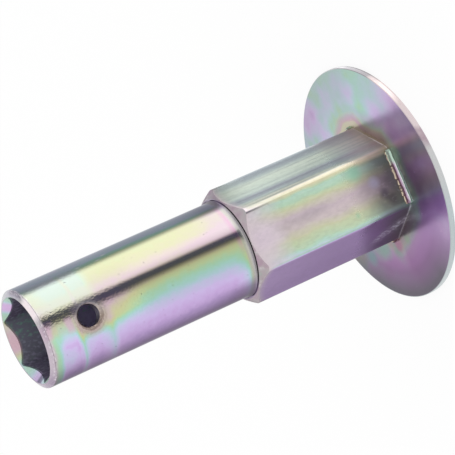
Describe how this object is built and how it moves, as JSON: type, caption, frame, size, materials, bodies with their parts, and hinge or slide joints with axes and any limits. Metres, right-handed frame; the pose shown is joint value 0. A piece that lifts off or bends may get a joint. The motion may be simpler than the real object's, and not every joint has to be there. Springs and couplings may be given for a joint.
{
  "type": "wheel axle",
  "caption": "Wheel axle with a round shank turned on a hexagonal tube, a hexagonal bore, a cross hole for a pin and a round stop disc welded to its end.",
  "frame": {"origin": "centre of the disc's back face, which the axle stands on", "axes": "+Z along the axle towards the open end of the shank; two flats of the hexagon face -Y and +Y, and the pin hole runs along Y"},
  "size_m": [0.074, 0.074, 0.1245],
  "materials": {
    "plated_tube": "glossy turned and drawn steel, zinc-plated with a rainbow chromate film",
    "plated_plate": "satin rolled plate, zinc-plated with a rainbow chromate film",
    "plated_weld": "rippled weld metal under the same plating"
  },
  "bodies": {
    "root": {"axle_body": "plated_tube", "flange_disc": "plated_plate", "weld_beads": "plated_weld"}
  },
  "joints": []
}
